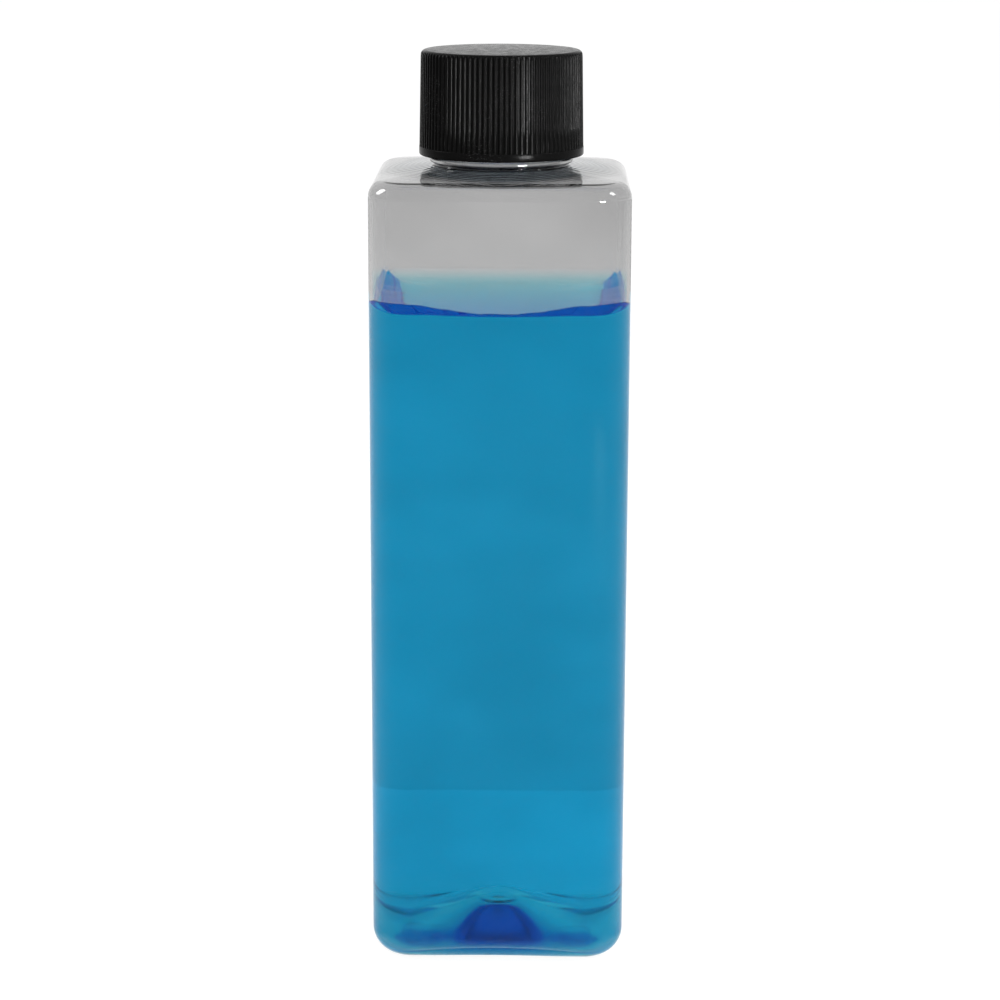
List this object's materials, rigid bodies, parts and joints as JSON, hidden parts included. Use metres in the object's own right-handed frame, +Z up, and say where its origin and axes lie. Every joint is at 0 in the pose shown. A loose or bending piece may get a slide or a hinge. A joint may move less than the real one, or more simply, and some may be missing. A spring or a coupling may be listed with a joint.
{
  "type": "square media bottle",
  "caption": "Clear square plastic bottle with a push-up base on four feet, a round neck, a ribbed screw cap that turns off, and coloured liquid inside.",
  "frame": {"origin": "on the ground under the middle of the bottle", "axes": "+Z up along the neck's axis, +X and +Y square to the flat sides, the camera side is -Y"},
  "size_m": [0.0474, 0.0474, 0.1694],
  "materials": {
    "clear_plastic": "clear, polished",
    "blue_liquid": "clear blue, wet",
    "foam_liner": "soft, closed foam",
    "black_plastic": "satin, lightly scuffed"
  },
  "bodies": {
    "bottle": {"bottle": "clear_plastic", "liquid": "blue_liquid"},
    "liner": {"liner": "foam_liner"},
    "cap": {"cap": "black_plastic"}
  },
  "joints": [
    {"name": "cap_rise", "type": "slide", "parent": "bottle", "child": "liner", "axis": [0, 0, 1], "range_m": [0, 0.0213]},
    {"name": "cap_turn", "type": "hinge", "parent": "liner", "child": "cap", "pos_m": [0, 0, 0.1679], "axis": [0, 0, 1], "range_deg": [0, 1800]}
  ],
  "couplings": [
    {"joint": "cap_rise", "follows": "cap_turn", "m_per_rad": 0.00067373}
  ]
}
